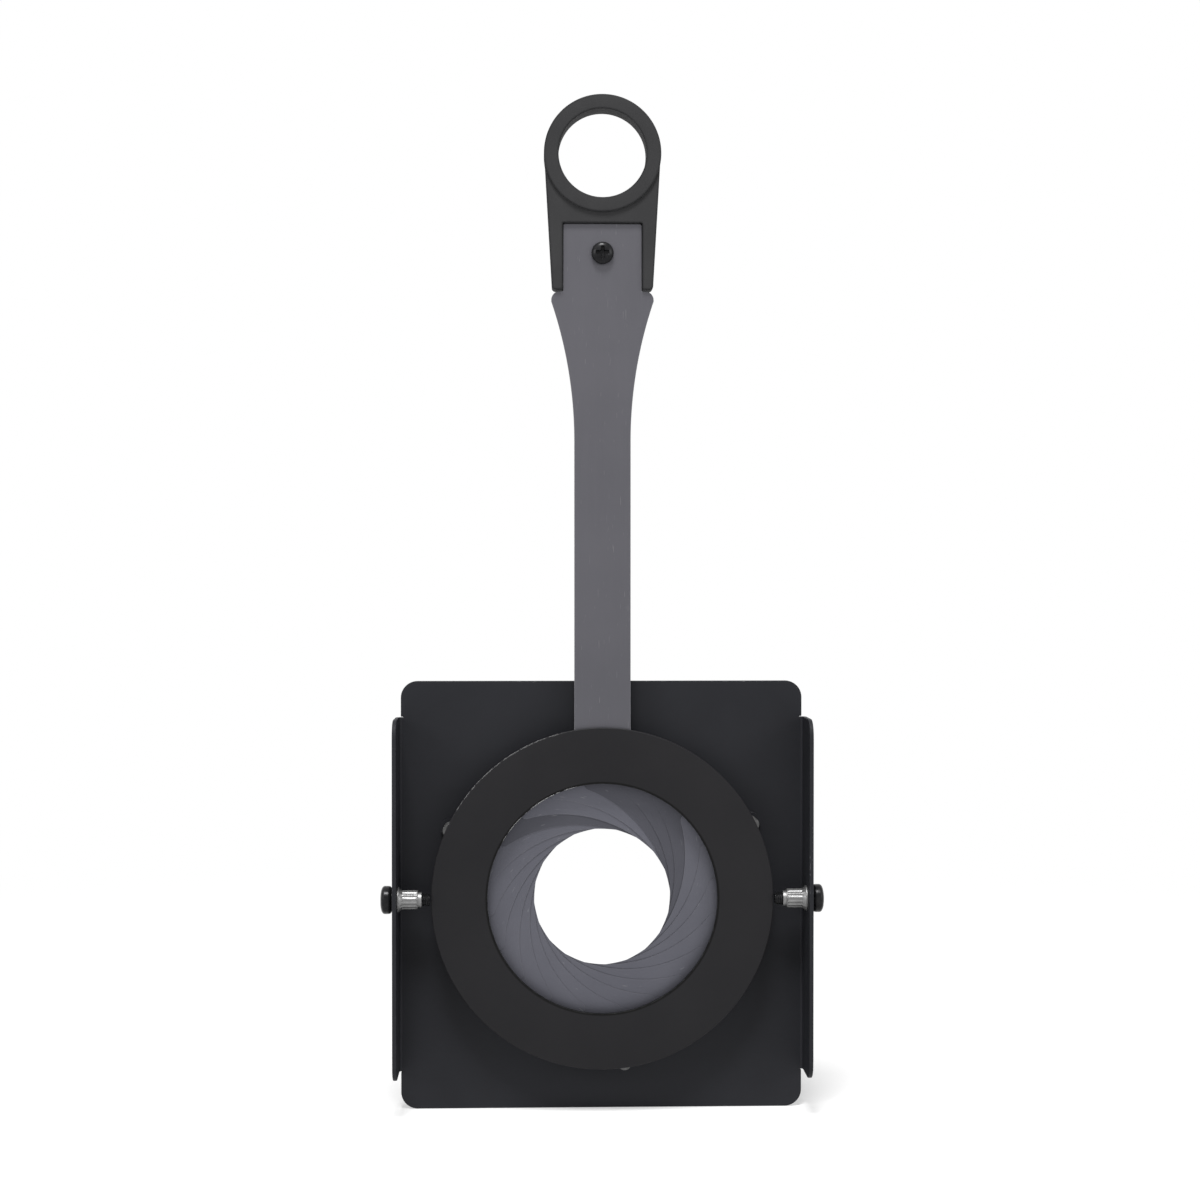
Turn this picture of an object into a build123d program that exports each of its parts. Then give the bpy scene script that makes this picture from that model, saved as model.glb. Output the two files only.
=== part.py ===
"""Drop-in iris diaphragm: a bent sheet carrier holds twenty thin leaves that a hand lever opens and closes.

Frame: millimetres, +Z up, origin where the optical axis crosses the rear face of the carrier plate.
The front of the iris faces -Y.  A "depth" is a distance in front of the rear face, measured along -Y.
"""

import os
from math import asin, atan2, cos, degrees, hypot, pi, radians, sin

from build123d import *

os.makedirs("parts", exist_ok=True)

# ---------------------------------------------------------------- driving dimensions
# carrier plate and its two bent flanges
plate_width = 150.0
plate_height = 160.0
plate_thickness = 1.5
plate_corner_radius = 6.2
light_opening_inset = 10.8
flange_top_gap = 13.5
flange_bottom_gap = 14.0
flange_reach = 21.5
flange_outset = 2.0
bend_inner_radius = 1.0
flange_corner_radius = 6.5
relief_width = 0.2
relief_depth = 1.0

# leaves and their studs
leaf_count = 20
leaf_thickness = 0.15
leaf_inner_margin = 6.8
leaf_outer_margin = 3.2
leaf_ramp_pitch = 7.54
leaf_end_margin = 2.6
leaf_corner_radius = 2.4
ramp_margin_angle = 14.0
ramp_inner_margin = 1.0
ramp_outer_margin = 8.0
pivot_to_post = 6.2
first_pivot_angle = 1.6
rest_leaf_shift = 23.8
open_leaf_shift = 6.2
stud_radius = 1.0
stud_tenon_radius = 0.6
stud_margin = 2.0

# stationary base ring
base_ring_thickness = 1.2
base_ring_inner_margin = 11.8
base_ring_outer_margin = 3.2
base_lug_radius = 3.6

# drive ring and control lever
drive_ring_thickness = 1.2
drive_ring_inner_margin = 9.3
leaf_per_lever = 0.49
lever_thickness = 1.5
lever_width = 20.8
lever_foot_inset = 0.8
lever_foot_half_angle = 16.5
flare_width = 37.8
flare_start_height = 169.0
flare_length = 51.5
flare_shoulder_length = 3.7
flare_shoulder_radius = 3.2
tab_width = 29.0
tab_length = 24.8
tab_corner_radius = 0.8
lever_rivet_radius = 1.3
lever_rivet_head_radius = 1.9
lever_rivet_inset = 2.8

# front cover ring and the posts that carry it
cover_thickness = 1.5
cover_opening_lip = 0.3
cover_outer_margin = 1.2
cover_edge_radius = 0.35
post_side_margin = 13.0
post_angles = {"right": 26.0, "left": 156.0, "lower": 277.6}
post_radius = 1.75
post_collar_radius = 2.4
post_collar_thickness = 0.6
post_tenon_radius = 0.9
post_tenon_length = 0.9
post_rivet_radius = 1.4
post_rivet_head_radius = 2.4
countersink_angle = 90.0

# handle
handle_ring_distance = 25.7
handle_ring_radius = 21.6
handle_hole_radius = 16.2
handle_ring_thickness = 10.0
handle_body_thickness = 7.8
handle_side_inset = 0.15
handle_foot_width = 37.2
handle_foot_gap = 0.4
handle_foot_corner_radius = 1.4
handle_leg_lip = 1.3
handle_edge_radius = 0.8
handle_screw_distance = 14.0

# press nuts and screws
press_nut_height = 0.0
press_nut_depth = 12.5
press_nut_shank_radius = 3.2
press_nut_collar_radius = 4.7
press_nut_collar_thickness = 1.0
press_nut_body_radius = 3.7
press_nut_length = 8.9
press_nut_end_radius = 1.0
side_thread_radius = 2.5
side_washer_radius = 4.0
side_washer_thickness = 0.6
side_screw_head_radius = 5.15
side_screw_head_height = 4.2
side_screw_tip = 3.0
handle_thread_radius = 2.0
handle_insert_radius = 2.8
handle_insert_length = 4.0
handle_screw_head_radius = 4.1
handle_screw_head_height = 2.9
recess_length_share = 0.58
recess_width_share = 0.17
recess_depth_share = 0.6
recess_draft_angle = 8.0
head_rim_share = 0.35
head_underside_share = 0.12
tip_chamfer_share = 0.3

# clearances
stud_clearance = 0.05
stud_seat_clearance = 0.03
stud_end_clearance = 0.12
slot_clearance = 0.08
slot_end_clearance = 0.3
slot_play_samples = 24
thread_clearance = 0.05
screw_hole_clearance = 0.2
guide_clearance = 0.12
drive_ring_clearance = 0.2
leaf_clearance = 0.45
cover_clearance = 0.35
tab_clearance = 0.15

# ---------------------------------------------------------------- radii about the optical axis
post_circle_radius = plate_width / 2 - post_side_margin
cover_outer_radius = post_circle_radius + cover_outer_margin
pivot_circle_radius = post_circle_radius - pivot_to_post
light_opening_radius = pivot_circle_radius - light_opening_inset
base_ring_inner_radius = pivot_circle_radius - base_ring_inner_margin
base_ring_outer_radius = pivot_circle_radius + base_ring_outer_margin
leaf_inner_radius = pivot_circle_radius - leaf_inner_margin
leaf_outer_radius = pivot_circle_radius + leaf_outer_margin
rest_aperture_radius = leaf_inner_radius - rest_leaf_shift
open_aperture_radius = leaf_inner_radius - open_leaf_shift
drive_ring_inner_radius = pivot_circle_radius - drive_ring_inner_margin
lever_foot_inner_radius = drive_ring_inner_radius + lever_foot_inset
lever_rivet_circle_radius = pivot_circle_radius - lever_rivet_inset
cover_opening_radius = open_aperture_radius - cover_opening_lip

# ---------------------------------------------------------------- heights above the optical axis
flange_top = plate_height / 2 - flange_top_gap
flange_bottom = flange_bottom_gap - plate_height / 2
flare_end_height = flare_start_height + flare_length
tab_bottom_height = flare_end_height + flare_shoulder_length
tab_top_height = tab_bottom_height + tab_length
handle_foot_height = tab_bottom_height + handle_foot_gap
handle_ring_height = tab_top_height + handle_ring_distance
handle_screw_height = tab_bottom_height + handle_screw_distance

# ---------------------------------------------------------------- iris geometry
# A leaf turns about its pivot stud.  Its turn is zero when its inner edge is centred on the optical
# axis, and the free circle is the inner radius less the chord that the turn moves that centre by.
leaf_step = 360 / leaf_count


def turn_for_aperture(aperture_radius):
    """Leaf turn, in degrees, that leaves a free circle of this radius."""
    return 2 * degrees(asin((leaf_inner_radius - aperture_radius) / (2 * pivot_circle_radius)))


rest_turn = turn_for_aperture(rest_aperture_radius)
half_swing = rest_turn - turn_for_aperture(open_aperture_radius)
closed_turn = rest_turn + half_swing

# At rest the drive stud stands opposite the pivot stud, and at both ends of the swing it has moved
# out to the pivot circle.
stud_spacing = 2 * pivot_circle_radius * cos(radians(half_swing))
drive_circle_radius = stud_spacing - pivot_circle_radius
pivot_point = Vector(pivot_circle_radius, 0)
drive_point = pivot_point + Vector(-cos(radians(rest_turn)), sin(radians(rest_turn))) * stud_spacing
drive_point_angle = degrees(atan2(drive_point.Y, drive_point.X))

# Each leaf rises like a spiral ramp about the spot where the optical axis crosses it when closed,
# so that every leaf lies over one neighbour and under the other all the way round.
ramp_offset = 2 * pivot_circle_radius * sin(radians(closed_turn / 2))
ramp_centre = Vector(sin(radians(closed_turn / 2)), cos(radians(closed_turn / 2))) * ramp_offset


def ramp_angle(point):
    """Direction from the ramp's centre to a point of the leaf, in degrees."""
    return degrees(atan2(point.Y - ramp_centre.Y, point.X - ramp_centre.X))


leaf_rise_per_radian = leaf_ramp_pitch / (2 * pi)
leaf_ramp_turn = (ramp_angle(drive_point) - ramp_angle(pivot_point)) % 360
leaf_rise = leaf_rise_per_radian * radians(leaf_ramp_turn)

# ---------------------------------------------------------------- depths, from the rear face forwards
base_ring_depth = plate_thickness
leaf_depth = base_ring_depth + base_ring_thickness + leaf_clearance
leaf_top_depth = leaf_depth + leaf_rise + leaf_thickness
drive_ring_depth = leaf_top_depth + drive_ring_clearance
lever_depth = drive_ring_depth + drive_ring_thickness
lever_front_depth = lever_depth + lever_thickness
cover_depth = lever_front_depth + cover_clearance
handle_front_depth = lever_front_depth + handle_leg_lip
handle_middle_depth = handle_front_depth - handle_body_thickness / 2

rear_plane = Plane(origin=(0, 0, 0), x_dir=(-1, 0, 0), z_dir=(0, 1, 0))


def front_plane(depth):
    """Plane across the optical axis that faces forwards: its x is +X and its y is +Z."""
    return Plane(origin=(0, -depth, 0), x_dir=(1, 0, 0), z_dir=(0, -1, 0))


def leaf_plane(depth):
    """Plane of the first leaf at rest: origin at the centre of its inner edge, x towards its pivot stud."""
    pivot_angle = radians(first_pivot_angle)
    leaf_angle = pivot_angle + radians(rest_turn)
    centre_x = pivot_circle_radius * (cos(pivot_angle) - cos(leaf_angle))
    centre_z = pivot_circle_radius * (sin(pivot_angle) - sin(leaf_angle))
    return Plane(
        origin=(centre_x, -depth, centre_z), x_dir=(cos(leaf_angle), 0, sin(leaf_angle)), z_dir=(0, -1, 0)
    )


def polar(radius, angle):
    """Point at this radius and angle, in degrees, for use on a plane."""
    return (radius * cos(radians(angle)), radius * sin(radians(angle)))


def section_plane(seat):
    """Plane through a seat's axis: its x is the seat's x and its y runs out along the axis."""
    return Plane(origin=seat.origin, x_dir=seat.x_dir, z_dir=-seat.y_dir)


def save(piece, name):
    """Label a finished piece and write it as its own STEP file."""
    piece.label = name
    export_step(piece, f"parts/{name}.step")


# ---------------------------------------------------------------- carrier plate
half_width = plate_width / 2
flange_outer = half_width + flange_outset
flange_inner = flange_outer - plate_thickness
bend_outer_radius = bend_inner_radius + plate_thickness
flange_height = flange_top - flange_bottom
flange_middle = (flange_top + flange_bottom) / 2
post_points = {side: polar(post_circle_radius, angle) for side, angle in post_angles.items()}

with BuildPart(rear_plane) as carrier_plate:
    with BuildSketch(front_plane(0)):
        RectangleRounded(plate_width, plate_height, plate_corner_radius)
        with Locations((-half_width, flange_middle), (half_width, flange_middle)):
            Rectangle(2 * relief_depth, flange_height + 2 * relief_width, mode=Mode.SUBTRACT)
        Circle(light_opening_radius, mode=Mode.SUBTRACT)
    extrude(amount=plate_thickness)
    # the sheet turns forwards through each bend, then runs straight to the flange's front edge
    with BuildSketch(Plane.XY.offset(flange_bottom)):
        with BuildLine():
            outer_bend = RadiusArc(
                (flange_outer - bend_outer_radius, 0), (flange_outer, -bend_outer_radius), bend_outer_radius
            )
            flange_edge = Polyline(
                outer_bend @ 1,
                (flange_outer, -flange_reach),
                (flange_inner, -flange_reach),
                (flange_inner, -bend_outer_radius),
            )
            inner_bend = RadiusArc(
                flange_edge @ 1, (flange_outer - bend_outer_radius, -plate_thickness), -bend_inner_radius
            )
            Polyline(
                inner_bend @ 1,
                (half_width - relief_depth, -plate_thickness),
                (half_width - relief_depth, 0),
                outer_bend @ 0,
            )
        make_face()
        mirror(about=Plane.YZ)
    extrude(amount=flange_height)
    front_corners = carrier_plate.edges().filter_by(Axis.X).group_by(Axis.Y)[0]
    fillet(front_corners, flange_corner_radius)
    # countersunk rear ends of the posts
    with Locations(*[(-x, z) for x, z in post_points.values()]):
        CounterSinkHole(post_rivet_radius, post_rivet_head_radius, plate_thickness, countersink_angle)
    # press nut holes, straight through both flanges
    with BuildSketch(Plane.YZ):
        with Locations((-press_nut_depth, press_nut_height)):
            Circle(press_nut_shank_radius)
    extrude(amount=flange_outer, both=True, mode=Mode.SUBTRACT)
save(carrier_plate.part, "carrier_plate")

# ---------------------------------------------------------------- stationary base ring
with BuildPart() as base_ring:
    with BuildSketch(front_plane(base_ring_depth)):
        Circle(base_ring_outer_radius)
        with Locations(*post_points.values()):
            Circle(base_lug_radius)
        Circle(base_ring_inner_radius, mode=Mode.SUBTRACT)
        with PolarLocations(pivot_circle_radius, leaf_count, start_angle=first_pivot_angle):
            Circle(stud_radius + stud_clearance, mode=Mode.SUBTRACT)
        with Locations(*post_points.values()):
            Circle(post_rivet_radius, mode=Mode.SUBTRACT)
    extrude(amount=base_ring_thickness)
save(base_ring.part, "base_ring")

# ---------------------------------------------------------------- leaves and their studs
optical_axis = Axis((0, 0, 0), (0, -1, 0))
drive_outer = drive_point + drive_point.normalized() * stud_margin
pivot_outer = pivot_point + pivot_point.normalized() * stud_margin
outer_chord = drive_outer - pivot_outer
outer_reach = (leaf_outer_radius**2 - (outer_chord.length / 2) ** 2) ** 0.5
outer_centre = (drive_outer + pivot_outer) / 2 + outer_chord.normalized().rotate(Axis.Z, 90) * outer_reach

first_end_angle = -degrees(leaf_end_margin / pivot_circle_radius)
last_end_angle = drive_point_angle + degrees(leaf_end_margin / drive_point.length)
middle_angle = (first_end_angle + last_end_angle) / 2
wedge_reach = plate_width

# the ramp starts a little before the pivot end and runs a little past the drive end
ramp_start_depth = leaf_depth - leaf_rise_per_radian * radians(ramp_margin_angle)
ramp_height = leaf_rise_per_radian * radians(leaf_ramp_turn + 2 * ramp_margin_angle)
ramp_inner_radius = leaf_inner_radius - ramp_offset - ramp_inner_margin
ramp_outer_radius = pivot_circle_radius + ramp_outer_margin
blade_plane = leaf_plane(ramp_start_depth)
ramp_direction = polar(1, ramp_angle(pivot_point) - ramp_margin_angle)
ramp_plane = Plane(
    origin=blade_plane.from_local_coords(ramp_centre),
    x_dir=blade_plane.from_local_coords(Vector(*ramp_direction)) - blade_plane.origin,
    z_dir=blade_plane.z_dir,
)

inner_ramp_edge = ramp_plane * Helix(leaf_ramp_pitch, ramp_height, ramp_inner_radius)
outer_ramp_edge = ramp_plane * Helix(leaf_ramp_pitch, ramp_height, ramp_outer_radius)
ramp_face = Face.make_surface_from_curves(inner_ramp_edge, outer_ramp_edge)

with BuildPart() as first_leaf:
    extrude(ramp_face, amount=leaf_thickness, dir=(0, -1, 0))
    with BuildSketch(leaf_plane(0)) as leaf_outline:
        with Locations(outer_centre):
            Circle(leaf_outer_radius)
        Circle(leaf_inner_radius, mode=Mode.SUBTRACT)
        with BuildLine():
            Polyline(
                (0, 0),
                polar(wedge_reach, first_end_angle),
                polar(wedge_reach, middle_angle),
                polar(wedge_reach, last_end_angle),
                close=True,
            )
        make_face(mode=Mode.INTERSECT)
        fillet(leaf_outline.vertices(), leaf_corner_radius)
        with Locations(pivot_point, drive_point):
            Circle(stud_tenon_radius + stud_seat_clearance, mode=Mode.SUBTRACT)
    extrude(amount=cover_depth, mode=Mode.INTERSECT)

# a pivot stud reaches back into the base ring, a drive stud forwards into its slot in the drive ring
with BuildPart() as first_studs:
    with BuildSketch(leaf_plane(base_ring_depth + stud_end_clearance)):
        with Locations(pivot_point):
            Circle(stud_radius)
    extrude(amount=leaf_depth - stud_seat_clearance - base_ring_depth - stud_end_clearance)
    with BuildSketch(leaf_plane(leaf_depth - stud_seat_clearance)):
        with Locations(pivot_point):
            Circle(stud_tenon_radius)
    extrude(amount=leaf_thickness + stud_seat_clearance)
    with BuildSketch(leaf_plane(leaf_top_depth + stud_seat_clearance)):
        with Locations(drive_point):
            Circle(stud_radius)
    extrude(amount=lever_depth - stud_end_clearance - leaf_top_depth - stud_seat_clearance)
    with BuildSketch(leaf_plane(leaf_top_depth - leaf_thickness)):
        with Locations(drive_point):
            Circle(stud_tenon_radius)
    extrude(amount=leaf_thickness + stud_seat_clearance)

for index in range(leaf_count):
    with BuildPart() as leaf:
        add(first_leaf.part.rotate(optical_axis, index * leaf_step))
    save(leaf.part, f"leaf_{index + 1:02d}")
    with BuildPart() as leaf_studs:
        add(first_studs.part.rotate(optical_axis, index * leaf_step))
    save(leaf_studs.part, f"leaf_studs_{index + 1:02d}")

# ---------------------------------------------------------------- drive ring
# The real relation of leaf to lever is not quite straight, so the slots leave the studs the play
# that a straight one of leaf_per_lever needs.
drive_ring_outer_radius = post_circle_radius - post_radius - guide_clearance
first_slot_angle = first_pivot_angle + 180


def drive_stud_offset(turn):
    """How far a drive stud stands beside the middle of its slot, this many degrees from rest."""
    across = stud_spacing * sin(radians(turn))
    along = stud_spacing * cos(radians(turn)) - pivot_circle_radius
    slip = degrees(atan2(across, along)) - turn / leaf_per_lever
    return radians(slip) * hypot(across, along)


slot_turns = [half_swing * sample / slot_play_samples for sample in range(slot_play_samples + 1)]
slot_play = max(abs(drive_stud_offset(turn)) for turn in slot_turns)
slot_width = 2 * (stud_radius + slot_play + slot_clearance)
slot_length = pivot_circle_radius - drive_circle_radius + 2 * slot_end_clearance
slot_middle_radius = (pivot_circle_radius + drive_circle_radius) / 2

# the lever's two rivets stand in the webs on both sides of the slot nearest to the lever
nearest_slot = round((90 - first_slot_angle) / leaf_step)
nearest_slot_angle = first_slot_angle + nearest_slot * leaf_step
lever_rivet_points = [
    polar(lever_rivet_circle_radius, nearest_slot_angle + side * leaf_step / 2) for side in (-1, 1)
]

with BuildPart(rear_plane.offset(-drive_ring_depth)) as drive_ring:
    with BuildSketch(front_plane(drive_ring_depth)):
        Circle(drive_ring_outer_radius)
        Circle(drive_ring_inner_radius, mode=Mode.SUBTRACT)
        with PolarLocations(slot_middle_radius, leaf_count, start_angle=first_slot_angle):
            SlotCenterToCenter(slot_length, slot_width, mode=Mode.SUBTRACT)
    extrude(amount=drive_ring_thickness)
    with Locations(*[(-x, z) for x, z in lever_rivet_points]):
        CounterSinkHole(
            lever_rivet_radius, lever_rivet_head_radius, drive_ring_thickness, countersink_angle
        )
save(drive_ring.part, "drive_ring")

# ---------------------------------------------------------------- control lever
with BuildPart(front_plane(lever_front_depth)) as control_lever:
    with BuildSketch(front_plane(lever_depth)) as lever_outline:
        # foot: a piece of ring that lies on the drive ring
        Circle(drive_ring_outer_radius)
        Circle(lever_foot_inner_radius, mode=Mode.SUBTRACT)
        with BuildLine():
            Polyline(
                (0, 0),
                polar(wedge_reach, 90 - lever_foot_half_angle),
                polar(wedge_reach, 90 + lever_foot_half_angle),
                close=True,
            )
        make_face(mode=Mode.INTERSECT)
        # shank, flare and tab
        with BuildLine():
            shank = Line((lever_width / 2, slot_middle_radius), (lever_width / 2, flare_start_height))
            flare = TangentArc(shank @ 1, (flare_width / 2, flare_end_height), tangent=(0, 1))
            edge = Polyline(
                flare @ 1,
                (flare_width / 2, tab_bottom_height),
                (tab_width / 2, tab_bottom_height),
                (tab_width / 2, tab_top_height),
                (0, tab_top_height),
            )
            Polyline(edge @ 1, (0, slot_middle_radius), shank @ 0)
        make_face()
        mirror(about=Plane.YZ)
        shoulder_corners = [Vector(side * flare_width / 2, tab_bottom_height) for side in (-1, 1)]
        tab_corners = [Vector(side * tab_width / 2, tab_top_height) for side in (-1, 1)]
        for corners, radius in ((shoulder_corners, flare_shoulder_radius), (tab_corners, tab_corner_radius)):
            fillet([lever_outline.vertices().sort_by_distance(corner)[0] for corner in corners], radius)
        with Locations((0, handle_screw_height)):
            Circle(handle_thread_radius + screw_hole_clearance, mode=Mode.SUBTRACT)
    extrude(amount=lever_thickness)
    with Locations(*lever_rivet_points):
        CounterSinkHole(lever_rivet_radius, lever_rivet_head_radius, lever_thickness, countersink_angle)
save(control_lever.part, "control_lever")

with BuildPart() as lever_rivets:
    rivet_cone = lever_rivet_head_radius - lever_rivet_radius
    for x, z in lever_rivet_points:
        rivet_seat = Plane(origin=(x, -drive_ring_depth, z), x_dir=(1, 0, 0), z_dir=(0, -1, 0))
        rivet_length = lever_front_depth - drive_ring_depth
        with BuildSketch(section_plane(rivet_seat)):
            with BuildLine():
                Polyline(
                    (0, 0),
                    (lever_rivet_head_radius, 0),
                    (lever_rivet_radius, rivet_cone),
                    (lever_rivet_radius, rivet_length - rivet_cone),
                    (lever_rivet_head_radius, rivet_length),
                    (0, rivet_length),
                    close=True,
                )
            make_face()
        revolve(axis=Axis(rivet_seat.origin, rivet_seat.z_dir))
save(lever_rivets.part, "lever_rivets")

# ---------------------------------------------------------------- cover ring and posts
with BuildPart() as cover_ring:
    with BuildSketch(front_plane(cover_depth)):
        Circle(cover_outer_radius)
        Circle(cover_opening_radius, mode=Mode.SUBTRACT)
    extrude(amount=cover_thickness)
    fillet(cover_ring.faces().sort_by(Axis.Y)[0].edges(), cover_edge_radius)
    # blind seats for the posts, so that the front stays plain
    with BuildSketch(front_plane(cover_depth)):
        with Locations(*post_points.values()):
            Circle(post_tenon_radius)
    extrude(amount=post_tenon_length, mode=Mode.SUBTRACT)
save(cover_ring.part, "cover_ring")

# each post clamps the base ring, carries the drive ring on a collar and guides its rim
post_foot_depth = base_ring_depth + base_ring_thickness
post_shelf_depth = drive_ring_depth - drive_ring_clearance / 2
for side, (x, z) in post_points.items():
    post_seat = Plane(origin=(x, 0, z), x_dir=(1, 0, 0), z_dir=(0, -1, 0))
    with BuildPart() as cover_post:
        with BuildSketch(section_plane(post_seat)):
            with BuildLine():
                Polyline(
                    (0, 0),
                    (post_rivet_head_radius, 0),
                    (post_rivet_radius, post_rivet_head_radius - post_rivet_radius),
                    (post_rivet_radius, post_foot_depth),
                    (post_collar_radius, post_foot_depth),
                    (post_collar_radius, post_foot_depth + post_collar_thickness),
                    (post_radius, post_foot_depth + post_collar_thickness),
                    (post_radius, post_shelf_depth - post_collar_thickness),
                    (post_collar_radius, post_shelf_depth - post_collar_thickness),
                    (post_collar_radius, post_shelf_depth),
                    (post_radius, post_shelf_depth),
                    (post_radius, cover_depth),
                    (post_tenon_radius, cover_depth),
                    (post_tenon_radius, cover_depth + post_tenon_length),
                    (0, cover_depth + post_tenon_length),
                    close=True,
                )
            make_face()
        revolve(axis=Axis(post_seat.origin, post_seat.z_dir))
    save(cover_post.part, f"cover_post_{side}")

# ---------------------------------------------------------------- handle
pocket_half_width = tab_width / 2 + tab_clearance
handle_side = handle_ring_radius - handle_side_inset
handle_screw_seat = Plane(
    origin=(0, -lever_front_depth, handle_screw_height), x_dir=(1, 0, 0), z_dir=(0, -1, 0)
)

with BuildPart() as handle:
    with BuildSketch(front_plane(handle_middle_depth)) as handle_outline:
        with Locations((0, handle_ring_height)):
            Circle(handle_ring_radius)
        with BuildLine():
            Polyline(
                (-handle_foot_width / 2, handle_foot_height),
                (handle_foot_width / 2, handle_foot_height),
                (handle_side, handle_ring_height),
                (-handle_side, handle_ring_height),
                close=True,
            )
        make_face()
        fillet(handle_outline.vertices().group_by(Axis.Y)[0], handle_foot_corner_radius)
    extrude(amount=handle_body_thickness / 2, both=True)
    # the finger ring stands proud of the body on both sides
    with BuildSketch(front_plane(handle_middle_depth)):
        with Locations((0, handle_ring_height)):
            Circle(handle_ring_radius)
    extrude(amount=handle_ring_thickness / 2, both=True)
    with BuildSketch(front_plane(handle_middle_depth)):
        with Locations((0, handle_ring_height)):
            Circle(handle_hole_radius)
    extrude(amount=handle_ring_thickness / 2, both=True, mode=Mode.SUBTRACT)
    ring_faces = handle.faces().filter_by(Axis.Y).sort_by(Axis.Y)
    fillet(ring_faces[0].edges() + ring_faces[-1].edges(), handle_edge_radius)
    # open pocket for the lever's tab, and the blind seat of the threaded insert
    pocket_top = tab_top_height + tab_clearance
    with BuildSketch(front_plane(lever_depth)):
        with Locations((0, (pocket_top + handle_foot_height) / 2)):
            Rectangle(2 * pocket_half_width, pocket_top - handle_foot_height)
    extrude(amount=handle_front_depth - lever_depth, mode=Mode.SUBTRACT)
    with BuildSketch(front_plane(lever_depth)):
        with Locations((0, handle_screw_height)):
            Circle(handle_insert_radius)
    extrude(amount=-handle_insert_length, mode=Mode.SUBTRACT)
save(handle.part, "handle")

with BuildPart() as handle_insert:
    with BuildSketch(front_plane(lever_depth)):
        with Locations((0, handle_screw_height)):
            Circle(handle_insert_radius)
            Circle(handle_thread_radius, mode=Mode.SUBTRACT)
    extrude(amount=-handle_insert_length)
save(handle_insert.part, "handle_insert")


# ---------------------------------------------------------------- screws, washers and press nuts
def pan_head_screw(seat, head_radius, head_height, shank_radius, shank_length):
    """Cross-recess pan-head screw whose head stands on the seat and whose shank runs down below it."""
    tip_chamfer = tip_chamfer_share * shank_radius
    rim_height = head_rim_share * head_height
    underside = head_underside_share * head_radius
    recess = recess_length_share * head_radius
    quarter_turn = 90.0
    with BuildPart() as screw:
        with BuildSketch(section_plane(seat)):
            with BuildLine():
                shank = Polyline(
                    (0, -shank_length),
                    (shank_radius - tip_chamfer, -shank_length),
                    (shank_radius, tip_chamfer - shank_length),
                    (shank_radius, 0),
                    (head_radius - underside, 0),
                    (head_radius, underside),
                    (head_radius, rim_height),
                )
                dome = EllipticalCenterArc(
                    (0, rim_height), head_radius, head_height - rim_height, arc_size=quarter_turn
                )
                Line(dome @ 1, shank @ 0)
            make_face()
        revolve(axis=Axis(seat.origin, seat.z_dir))
        with BuildSketch(seat.offset(head_height)):
            Rectangle(2 * recess, 2 * recess_width_share * head_radius)
            Rectangle(2 * recess_width_share * head_radius, 2 * recess)
        extrude(amount=-recess_depth_share * head_height, taper=recess_draft_angle, mode=Mode.SUBTRACT)
    return screw.part


handle_screw = pan_head_screw(
    handle_screw_seat,
    handle_screw_head_radius,
    handle_screw_head_height,
    handle_thread_radius - thread_clearance,
    lever_thickness + handle_insert_length - tab_clearance,
)
save(handle_screw, "handle_screw")

for side, direction in (("left", -1), ("right", 1)):
    flange_face = Plane(
        origin=(direction * flange_outer, -press_nut_depth, press_nut_height),
        x_dir=(0, -direction, 0),
        z_dir=(direction, 0, 0),
    )
    # the nut is pressed in from inside: its shank fills the sheet and its collar lies on the inner face
    nut_end = -plate_thickness - press_nut_length
    with BuildPart() as press_nut:
        with BuildSketch(section_plane(flange_face)) as press_nut_section:
            with BuildLine():
                Polyline(
                    (side_thread_radius, 0),
                    (press_nut_shank_radius, 0),
                    (press_nut_shank_radius, -plate_thickness),
                    (press_nut_collar_radius, -plate_thickness),
                    (press_nut_collar_radius, -plate_thickness - press_nut_collar_thickness),
                    (press_nut_body_radius, -plate_thickness - press_nut_collar_thickness),
                    (press_nut_body_radius, nut_end),
                    (side_thread_radius, nut_end),
                    close=True,
                )
            make_face()
            end_corner = Vector(press_nut_body_radius, nut_end)
            end_corner = press_nut_section.vertices().sort_by_distance(end_corner)[0]
            fillet(end_corner, press_nut_end_radius)
        revolve(axis=Axis(flange_face.origin, flange_face.z_dir))
    save(press_nut.part, f"press_nut_{side}")

    with BuildPart() as side_washer:
        with BuildSketch(flange_face):
            Circle(side_washer_radius)
            Circle(side_thread_radius + screw_hole_clearance, mode=Mode.SUBTRACT)
        extrude(amount=side_washer_thickness)
    save(side_washer.part, f"side_washer_{side}")

    side_screw = pan_head_screw(
        flange_face.offset(side_washer_thickness),
        side_screw_head_radius,
        side_screw_head_height,
        side_thread_radius - thread_clearance,
        side_washer_thickness + plate_thickness + press_nut_length + side_screw_tip,
    )
    save(side_screw, f"side_screw_{side}")
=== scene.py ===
import bmesh
import bpy
import numpy as np
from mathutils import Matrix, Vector


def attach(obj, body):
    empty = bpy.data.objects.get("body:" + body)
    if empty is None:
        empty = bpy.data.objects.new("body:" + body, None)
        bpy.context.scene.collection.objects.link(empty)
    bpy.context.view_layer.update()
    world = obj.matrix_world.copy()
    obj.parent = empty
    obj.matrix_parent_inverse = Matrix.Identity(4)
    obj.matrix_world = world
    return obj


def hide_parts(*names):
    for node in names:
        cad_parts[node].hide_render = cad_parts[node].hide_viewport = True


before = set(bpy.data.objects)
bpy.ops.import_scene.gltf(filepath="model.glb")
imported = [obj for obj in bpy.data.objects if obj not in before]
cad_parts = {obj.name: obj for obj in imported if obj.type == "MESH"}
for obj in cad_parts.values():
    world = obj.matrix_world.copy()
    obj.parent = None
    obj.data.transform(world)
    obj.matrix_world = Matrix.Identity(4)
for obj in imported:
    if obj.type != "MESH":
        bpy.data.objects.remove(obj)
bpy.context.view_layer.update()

mm = 0.001
rng = np.random.default_rng(7)
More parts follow.
